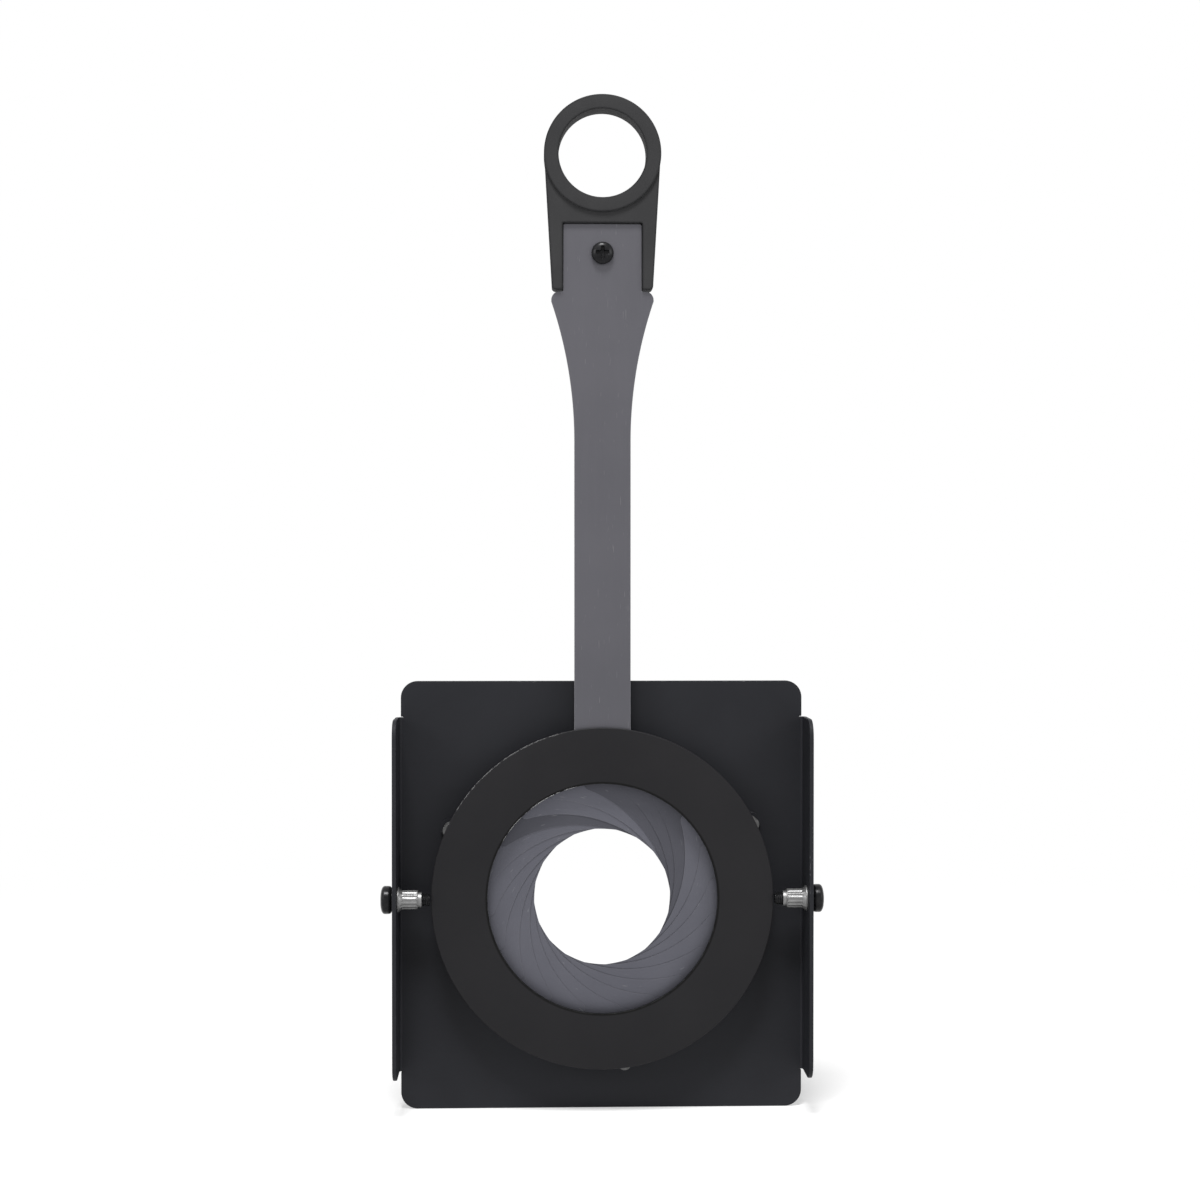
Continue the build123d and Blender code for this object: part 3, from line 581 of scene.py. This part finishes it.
def leafSurface():
    # In the leaf's own plane, with its pivot on +x: a point is (r cos t, r sin t), where t runs from one end
    # to the other, and r from the inner arc to the outer arc, which is a circle about another centre.
    # Its height is risePerRadian times the angle about the ramp centre, like a spiral ramp.
    turn = leafTurn(leaf["restAperture"])
    swing = turn - leafTurn(leaf["openAperture"])
    spacing = 2 * leaf["pivotCircle"] * np.cos(swing)
    pivot = np.array([leaf["pivotCircle"], 0])
    drive = pivot + np.array([-np.cos(turn), np.sin(turn)]) * spacing
    driveOut = drive * (1 + leaf["studMargin"] / np.linalg.norm(drive))
    pivotOut = pivot * (1 + leaf["studMargin"] / leaf["pivotCircle"])
    chord = driveOut - pivotOut
    chordLength = np.linalg.norm(chord)
    reach = np.sqrt(leaf["outerRadius"] ** 2 - chordLength**2 / 4)
    outerCentre = (driveOut + pivotOut) / 2 + np.array([-chord[1], chord[0]]) / chordLength * reach
    startAngle = -leaf["endMargin"] / leaf["pivotCircle"]
    endAngle = np.arctan2(drive[1], drive[0]) + leaf["endMargin"] / np.linalg.norm(drive)
    share = np.linspace(0, 1, leaf["stepsAlong"])
    ease = share - leaf["endCrowding"] * np.sin(2 * np.pi * share) / (2 * np.pi)
    angle = startAngle + (endAngle - startAngle) * ease
    toEnd = np.minimum(angle - startAngle, endAngle - angle) * leaf["pivotCircle"]
    corner = np.clip(leaf["cornerRadius"] - toEnd, 0, leaf["cornerRadius"] * 0.999)
    pulled = leaf["cornerRadius"] - np.sqrt(leaf["cornerRadius"] ** 2 - corner**2)
    ray = np.stack([np.cos(angle), np.sin(angle)], axis=1)
    along = ray @ outerCentre
    outer = along + np.sqrt(along**2 - outerCentre @ outerCentre + leaf["outerRadius"] ** 2)
    inner = leaf["innerRadius"] + pulled
    outer = outer - pulled
    across = np.linspace(0, 1, leaf["stepsAcross"])
    radius = inner[:, None] + (outer - inner)[:, None] * across
    flat = radius[..., None] * ray[:, None]
    closed = turn + swing
    rampCentre = np.array([np.sin(closed / 2), np.cos(closed / 2)]) * 2 * leaf["pivotCircle"] * np.sin(closed / 2)
    rampAngle = np.arctan2(flat[..., 1] - rampCentre[1], flat[..., 0] - rampCentre[0])
    pivotAngle = np.arctan2(pivot[1] - rampCentre[1], pivot[0] - rampCentre[0])
    climb = (rampAngle - pivotAngle + np.pi / 2) % (2 * np.pi) - np.pi / 2
    back = leaf["depth"] + leaf["risePerRadian"] * climb
    flat = np.concatenate([flat, flat[:, ::-1]], axis=1)
    depth = np.concatenate([back + leaf["thickness"], back[:, ::-1]], axis=1)
    uv = np.stack([np.broadcast_to(angle[:, None] * leaf["innerRadius"], radius.shape), radius], axis=-1) * mm
    return flat, depth, np.concatenate([uv, uv[:, ::-1]], axis=1), turn


flat, depth, leafUv, restTurn = leafSurface()
for index in range(leaf["count"]):
    pivotAngle = np.radians(leaf["firstPivotAngle"] + index * 360 / leaf["count"])
    leafAngle = pivotAngle + restTurn
    centreX = leaf["pivotCircle"] * (np.cos(pivotAngle) - np.cos(leafAngle))
    centreZ = leaf["pivotCircle"] * (np.sin(pivotAngle) - np.sin(leafAngle))
    x = centreX + flat[..., 0] * np.cos(leafAngle) - flat[..., 1] * np.sin(leafAngle)
    z = centreZ + flat[..., 0] * np.sin(leafAngle) + flat[..., 1] * np.cos(leafAngle)
    points = np.stack([x, -depth, z], axis=-1) * mm
    shift = rng.uniform(0, 1, 2) * leaf["patternShift"]
    blade = meshFromGrid(f"irisLeaf{index + 1:02d}", points, closeRows=False, capEnds=True, uv=leafUv + shift)
    tone = blade.data.attributes.new("leafReflectionShade", "FLOAT", "POINT")
    tone.data.foreach_set("value", np.full(len(blade.data.vertices), leafReflectionShades[index]))
    dress(blade, f"leaf_unit_{index + 1:02d}", leafSteel, "leaf_steel", f"leaf_{index + 1:02d}")
print("leaves made")

lever = {
    "width": 20.8, "footInner": 47.3, "footOuter": 60.13, "footHalfAngle": 16.5, "flareStart": 169.0,
    "flareEnd": 220.5, "flareWidth": 37.8, "tabBottom": 224.2, "shoulderRadius": 3.2, "tabWidth": 29.0,
    "tabTop": 249.0, "tabCorner": 0.8, "back": 9.235, "front": 10.735, "edge": 0.16,
}


def leverOutline(look):
    # right half from the foot up: foot arc, straight shank, flare on one big arc that is tangent to the
    # shank, shoulder and tab; the left half mirrors it and the foot's inner arc closes it
    half, flare, tab = look["width"] / 2, look["flareWidth"] / 2, look["tabWidth"] / 2
    startAngle = np.pi / 2 - np.radians(look["footHalfAngle"])
    footAngle = np.linspace(startAngle, np.arccos(half / look["footOuter"]), 9)
    foot = np.stack([np.cos(footAngle), np.sin(footAngle)], axis=1) * look["footOuter"]
    rise = look["flareEnd"] - look["flareStart"]
    bigRadius = (rise**2 + (flare - half) ** 2) / (2 * (flare - half))
    turn = np.linspace(0, np.arcsin(rise / bigRadius), 33)
    side = np.stack([half + bigRadius * (1 - np.cos(turn)), look["flareStart"] + bigRadius * np.sin(turn)], axis=1)
    corners = [(flare, look["tabBottom"]), (tab, look["tabBottom"]), (tab, look["tabTop"])]
    radii = [look["shoulderRadius"], 0, look["tabCorner"]]
    right = np.vstack([foot, side, corners])
    radii = np.concatenate([np.zeros(len(foot) + len(side)), radii])
    innerAngle = np.linspace(np.pi - startAngle, startAngle, 25)
    inner = np.stack([np.cos(innerAngle), np.sin(innerAngle)], axis=1) * look["footInner"]
    whole = np.vstack([right, right[::-1] * (-1, 1), inner])
    return roundCorners(whole, np.concatenate([radii, radii[::-1], np.zeros(len(inner))]), 8)


leverPiece = slab("controlLever", leverOutline(lever), lever["edge"], lever["back"], lever["front"], faceOn, 3)
dress(leverPiece, "lever", leverSteel, "lever_steel", "control_lever")

handle = {
    "ringHeight": 274.7, "ringRadius": 21.6, "holeRadius": 16.2, "middleDepth": 8.135, "ringThickness": 10.0,
    "bodyBack": 4.235, "bodyFront": 12.035, "sideInset": 0.15, "footWidth": 37.2,
    "footHeight": 224.6, "footCorner": 1.4, "pocketHalf": 14.65, "pocketTop": 249.15, "pocketDepth": 9.235,
    "ringEdge": 0.6, "bodyEdge": 0.55, "tuckRadius": 19.0, "legCorner": 0.7, "pocketCorner": 0.4, "halvesOverlap": 1.0,
}


def handleOutline(withPocket):
    # side, foot and leg corners of the handle's body; its top follows a circle tucked inside the finger ring
    low = np.radians(np.linspace(182, 358, 49))
    tuck = np.stack([np.cos(low), np.sin(low)], axis=1) * handle["tuckRadius"] + (0, handle["ringHeight"])
    half, foot = handle["footWidth"] / 2, handle["footHeight"]
    shoulder = (handle["ringRadius"] - handle["sideInset"], handle["ringHeight"])
    corners = [(-half, foot), (half, foot)]
    radii = [handle["footCorner"]] * 2
    if withPocket:
        inner, roof = handle["pocketHalf"], handle["pocketTop"]
        corners = [(-half, foot), (-inner, foot), (-inner, roof), (inner, roof), (inner, foot), (half, foot)]
        leg, pocket = handle["legCorner"], handle["pocketCorner"]
        radii = [handle["footCorner"], leg, pocket, pocket, leg, handle["footCorner"]]
    corners = np.array(corners + [shoulder, (-shoulder[0], shoulder[1])], float)
    rounded = roundCorners(corners, radii + [0, 0])
    return np.vstack([rounded[:-2], [shoulder], tuck[::-1], [(-shoulder[0], shoulder[1])]])


ringBack = handle["middleDepth"] - handle["ringThickness"] / 2
ringFront = handle["middleDepth"] + handle["ringThickness"] / 2
ringProfile = roundCorners(
    [(handle["holeRadius"], ringBack), (handle["ringRadius"], ringBack),
     (handle["ringRadius"], ringFront), (handle["holeRadius"], ringFront)],
    [handle["ringEdge"]] * 4, 6,
)
fingerRing = revolve("fingerRing", ringProfile, (0, 0, handle["ringHeight"]), (0, -1, 0), (1, 0, 0), 160)
dress(fingerRing, "lever", handlePlastic, "handle_plastic", "handle")
backHalf = slab("handleBack", handleOutline(False), handle["bodyEdge"], handle["bodyBack"],
                handle["pocketDepth"], faceOn)
frontHalf = slab("handleFront", handleOutline(True), handle["bodyEdge"],
                 handle["pocketDepth"] - handle["halvesOverlap"], handle["bodyFront"], faceOn)
for half in (backHalf, frontHalf):
    dress(half, "lever", handlePlastic, "handle_plastic", "handle")
print("lever and handle made")


def screwHead(name, look, origin, axis, sideways):
    # Polar grid: a straight rim, then a dome whose height falls as the square root of 1 - (r / R)^domePower,
    # less a cross recess that is a smooth product of two bars, deepest in the middle.
    turn = np.linspace(0, 2 * np.pi, look["segments"], endpoint=False)[:, None]
    share = np.sin(np.linspace(0, np.pi / 2, look["rings"]))[None]
    radius = look["headRadius"] * share
    rim = look["rimShare"] * look["headHeight"]
    dome = rim + (look["headHeight"] - rim) * np.clip(1 - share ** look["domePower"], 0, 1) ** 0.5
    u, v = radius * np.cos(turn), radius * np.sin(turn)
    reach, width = look["recessReach"], look["recessWidth"]

    def bar(first, second):
        lengthwise = np.clip((reach - np.abs(first)) / look["endSlope"], 0, 1)
        return lengthwise * np.clip((width - np.abs(second)) / look["sideSlope"], 0, 1)

    cross = np.maximum(bar(u, v), bar(v, u))
    sink = cross * look["recessDepth"] * (1 - look["shallowing"] * radius / reach)
    height = dome - sink
    shankRadius, shankLength = look["shankRadius"], look["shankLength"]
    curl = np.linspace(0, np.pi / 2, 6)
    fold = look["underside"]
    underside = np.stack([look["headRadius"] - fold + fold * np.cos(curl), fold - fold * np.sin(curl)], axis=1)
    underside = np.vstack([underside, [(shankRadius, 0.0)]])
    depthAlong = np.arange(0.2, shankLength, look["pitch"] / 6)
    axis, sideways = np.asarray(axis, float), np.asarray(sideways, float)
    across = np.cross(axis, sideways)
    radial = np.cos(turn)[..., None] * sideways + np.sin(turn)[..., None] * across
    head = radius[..., None] * radial + np.broadcast_to(height, u.shape)[..., None] * axis
    under = underside[None, :, :1] * radial + underside[None, :, 1:] * axis
    # thread: a ramp-shaped groove whose phase turns once per pitch, fading out at the tip
    phase = (depthAlong[None] / look["pitch"] + turn / (2 * np.pi)) % 1
    fade = np.clip((shankLength - depthAlong) / look["tipLength"], 0, 1)
    groove = look["threadDepth"] * np.abs(2 * phase - 1)
    threadRadius = shankRadius - groove - look["tipTaper"] * (1 - fade[None])
    thread = threadRadius[..., None] * radial - depthAlong[None, :, None] * axis
    tip = np.broadcast_to(-shankLength * axis, (look["segments"], 1, 3))
    points = np.concatenate([head, under, thread, tip], axis=1) + np.asarray(origin, float)
    return meshFromGrid(name, points * mm, closeRows=True, closeColumns=False)


screwForm = {"segments": 96, "rings": 40, "endSlope": 0.12, "sideSlope": 0.09, "shallowing": 0.45, "tipLength": 0.8,
             "tipTaper": 0.35}
handleScrew = dict(screwForm, **{
    "headRadius": 4.1, "headHeight": 2.9, "rimShare": 0.35, "domePower": 2.2, "recessReach": 2.35, "recessWidth": 0.62,
    "recessDepth": 1.75, "shankRadius": 1.95, "shankLength": 5.35, "pitch": 0.7,
    "threadDepth": 0.3, "underside": 0.35,
})
handleScrewHeight = 238.2
screw = screwHead("handleScrewHead", handleScrew, (0, -lever["front"], handleScrewHeight), (0, -1, 0), (1, 0, 0))
dress(screw, "lever", blackOxide, "black_oxide", "handle_screw")

sideScrew = dict(screwForm, **{
    "headRadius": 5.15, "headHeight": 4.12, "rimShare": 0.62, "domePower": 3.5, "recessReach": 2.9, "recessWidth": 0.75,
    "recessDepth": 2.2, "shankRadius": 2.45, "shankLength": 14.0, "pitch": 0.8,
    "threadDepth": 0.38, "underside": 1.15,
})
flange = {"outerFace": 77.0, "screwDepth": 12.5}
washer = {"radius": 4.0, "hole": 2.7, "thickness": 0.6, "edge": 0.15}
pressNut = {
    "boreRadius": 2.5, "shankRadius": 3.2, "sheet": 1.5, "collarRadius": 4.7, "collarThickness": 0.6,
    "coneLength": 1.1, "bodyRadius": 3.55, "length": 8.9, "stepLength": 1.3, "stepRadius": 2.85, "ribs": 14,
    "ribDepth": 0.11, "ribEndGap": 0.1, "ribStepGap": 0.4, "ribMargin": 0.05, "collarLand": 0.5, "mouthRounding": 0.1,
    "collarRounding": 0.15, "stepRounding": 0.3, "endRounding": 0.12,
}


def pressNutProfile(look):
    # section from the bore's mouth through the sheet, round the thin collar, down its cone, along the body
    # and over the smaller end
    collar = -look["sheet"] - look["collarThickness"]
    cone = collar - look["coneLength"]
    end = -look["sheet"] - look["length"]
    step = end + look["stepLength"]
    ribbedEnd, ribbedStart = cone - look["ribEndGap"], step + look["ribStepGap"]
    body = np.linspace(ribbedEnd - look["ribMargin"], ribbedStart + look["ribMargin"], 7)
    corners = [(look["boreRadius"], 0), (look["shankRadius"], 0), (look["shankRadius"], -look["sheet"]),
               (look["collarRadius"], -look["sheet"]), (look["collarRadius"], collar),
               (look["collarRadius"] - look["collarLand"], collar), (look["bodyRadius"], cone)]
    corners += [(look["bodyRadius"], height) for height in body]
    corners += [(look["bodyRadius"], step), (look["stepRadius"], step), (look["stepRadius"], end)]
    corners += [(look["boreRadius"], end)]
    rim = [look["mouthRounding"], 0, 0, look["collarRounding"], look["collarRounding"], 0, 0]
    radii = rim + [0] * len(body) + [look["stepRounding"], 0, look["endRounding"], look["endRounding"]]
    return roundCorners(corners, radii)


def ribs(turn, radius, height):
    # straight ribs along the nut's body only
    cone = -pressNut["sheet"] - pressNut["collarThickness"] - pressNut["coneLength"]
    step = -pressNut["sheet"] - pressNut["length"] + pressNut["stepLength"]
    body = (height < cone - pressNut["ribEndGap"]) & (height > step + pressNut["ribStepGap"])
    return body * pressNut["ribDepth"] * (np.cos(turn * pressNut["ribs"]) - 1)


for side, direction in (("left", -1), ("right", 1)):
    outward = (direction, 0, 0)
    flangeFace = (direction * flange["outerFace"], -flange["screwDepth"], 0)
    screwFace = (direction * (flange["outerFace"] + washer["thickness"]), -flange["screwDepth"], 0)
    nut = revolve(f"pressNut{side.title()}", pressNutProfile(pressNut), flangeFace, outward, (0, 0, 1), 240, ribs)
    dress(nut, "carrier", nutZinc, "bright_zinc", f"press_nut_{side}")
    ring = roundCorners([(washer["hole"], 0), (washer["radius"], 0), (washer["radius"], washer["thickness"]),
                         (washer["hole"], washer["thickness"])], [washer["edge"]] * 4)
    disc = revolve(f"sideWasher{side.title()}", ring, flangeFace, outward, (0, 0, 1), 96)
    dress(disc, "carrier", blackOxide, "black_oxide", f"side_washer_{side}")
    screw = screwHead(f"sideScrew{side.title()}", sideScrew, screwFace, outward, (0, 0, 1))
    dress(screw, "carrier", blackOxide, "black_oxide", f"side_screw_{side}")
print("fasteners made")

post = {
    "circle": 62.0, "angles": {"Right": 26.0, "Left": 156.0, "Lower": 277.6}, "radius": 1.75, "foot": 2.7,
    "collarRadius": 2.4, "collarThickness": 0.6, "shelf": 7.935, "shoulder": 9.9, "top": 11.085, "rivetRadius": 1.4,
    "rivetHead": 2.4, "tenonRadius": 0.9, "tenonLength": 0.9, "softening": 0.12,
}


def postProfile(look):
    # section from the countersunk rear end forwards: rivet, foot collar, stem, shelf collar under the drive
    # ring, stem again, and the shoulder and tenon that hold the cover ring
    foot, shelfFront, shoulder, top = look["foot"], look["shelf"], look["shoulder"], look["top"]
    stem, wide, rivet, tenon = look["radius"], look["collarRadius"], look["rivetRadius"], look["tenonRadius"]
    footFront, shelfBack = foot + look["collarThickness"], shelfFront - look["collarThickness"]
    corners = [(0, 0), (look["rivetHead"], 0), (rivet, look["rivetHead"] - rivet), (rivet, foot), (wide, foot),
               (wide, footFront), (stem, footFront), (stem, shelfBack), (wide, shelfBack), (wide, shelfFront),
               (stem, shelfFront), (stem, shoulder), (wide, shoulder), (wide, top), (tenon, top),
               (tenon, top + look["tenonLength"]), (0, top + look["tenonLength"])]
    soft = look["softening"]
    return roundCorners(corners, [0, 0, 0, 0, soft, soft, 0, 0, soft, soft, 0, 0, soft, soft, 0, 0, 0], 3)


for side, angle in post["angles"].items():
    foot = (post["circle"] * np.cos(np.radians(angle)), 0, post["circle"] * np.sin(np.radians(angle)))
    column = revolve(f"coverPost{side}", postProfile(post), foot, (0, -1, 0), (1, 0, 0), 64)
    dress(column, "carrier", postSteel, "bright_zinc", f"cover_post_{side.lower()}")
print("posts made")

keptMaterials = {"base_ring": plateCoat, "drive_ring": ringSteel, "lever_rivets": zinc, "handle_insert": brass}
for index in range(leaf["count"]):
    keptMaterials[f"leaf_studs_{index + 1:02d}"] = zinc
for name, material in keptMaterials.items():
    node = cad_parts[name]
    node.data.materials.clear()
    node.data.materials.append(material)
print("kept nodes painted")

stageLook = {"size": 30.0, "height": -0.0801, "color": (0.93, 0.93, 0.93), "white": 1.0, "nearRadius": 0.10,
             "farRadius": 0.70, "nearWhite": 0.45}
floorMesh = bpy.data.meshes.new("floor")
half = stageLook["size"] / 2
floorMesh.from_pydata([(-half, -half, 0), (half, -half, 0), (half, half, 0), (-half, half, 0)], [], [(0, 1, 2, 3)])
floor = bpy.data.objects.new("floor", floorMesh)
floor.location = (0, 0, stageLook["height"])
bpy.context.scene.collection.objects.link(floor)


def floorMaterial():
    # pale matt floor that turns into plain white away from the object, where no shadow falls
    material, tree, shader, where = newMaterial("paleFloor", Roughness=0.9, Specular_IOR_Level=0.1)
    shader.inputs["Base Color"].default_value = stageLook["color"] + (1,)
    glow = tree.nodes.new("ShaderNodeEmission")
    glow.inputs["Strength"].default_value = stageLook["white"]
    fade = rampNode(tree, vectorNode(tree, "LENGTH", where), stageLook["nearRadius"], stageLook["farRadius"],
                    stageLook["nearWhite"], 1.0)
    mix = tree.nodes.new("ShaderNodeMixShader")
    tree.links.new(mathNode(tree, "MULTIPLY", fade, raysThatShowWhite(tree)), mix.inputs["Fac"])
    tree.links.new(shader.outputs[0], mix.inputs[1])
    tree.links.new(glow.outputs[0], mix.inputs[2])
    tree.links.new(mix.outputs[0], tree.nodes["Material Output"].inputs["Surface"])
    return material


floorMesh.materials.append(floorMaterial())

world = bpy.data.worlds.new("softRoom")
world.use_nodes = True
bpy.context.scene.world = world
tree = world.node_tree
background = tree.nodes["Background"]
background.inputs["Color"].default_value = (1, 1, 1, 1)
worldStrength = {"onObject": 0.30, "seen": 1.0}
strength = rampNode(tree, raysThatShowWhite(tree), 0, 1, worldStrength["onObject"], worldStrength["seen"])
tree.links.new(strength, background.inputs["Strength"])

lamps = [
    {"name": "topLight", "place": (-0.2, -1.3, 2.9), "size": 0.8, "power": 112.0},
    {"name": "leftLight", "place": (-1.3, -1.0, 0.65), "size": 0.6, "power": 6.5},
    {"name": "rightLight", "place": (1.25, -1.0, 0.55), "size": 0.7, "power": 6.0},
]
lampTarget = (0, 0, 0.08)
for lamp in lamps:
    light = bpy.data.lights.new(lamp["name"], "AREA")
    light.energy = lamp["power"]
    light.size = lamp["size"]
    holder = bpy.data.objects.new(lamp["name"], light)
    holder.location = lamp["place"]
    aim = Vector(lampTarget) - Vector(lamp["place"])
    holder.rotation_euler = aim.to_track_quat("-Z", "Y").to_euler()
    bpy.context.scene.collection.objects.link(holder)

view = {"place": (-0.0238, -0.7681, 0.1196), "tilt": -0.70, "turn": -1.73, "lens": 61.55}
camera = bpy.data.cameras.new("camera")
camera.sensor_width = 36
camera.lens = view["lens"]
cameraHolder = bpy.data.objects.new("camera", camera)
cameraHolder.location = view["place"]
cameraHolder.rotation_euler = np.radians((90 + view["tilt"], 0, view["turn"]))
bpy.context.scene.collection.objects.link(cameraHolder)
bpy.context.scene.camera = cameraHolder
bpy.context.scene.view_settings.view_transform = "Standard"
print("stage, light and camera set")
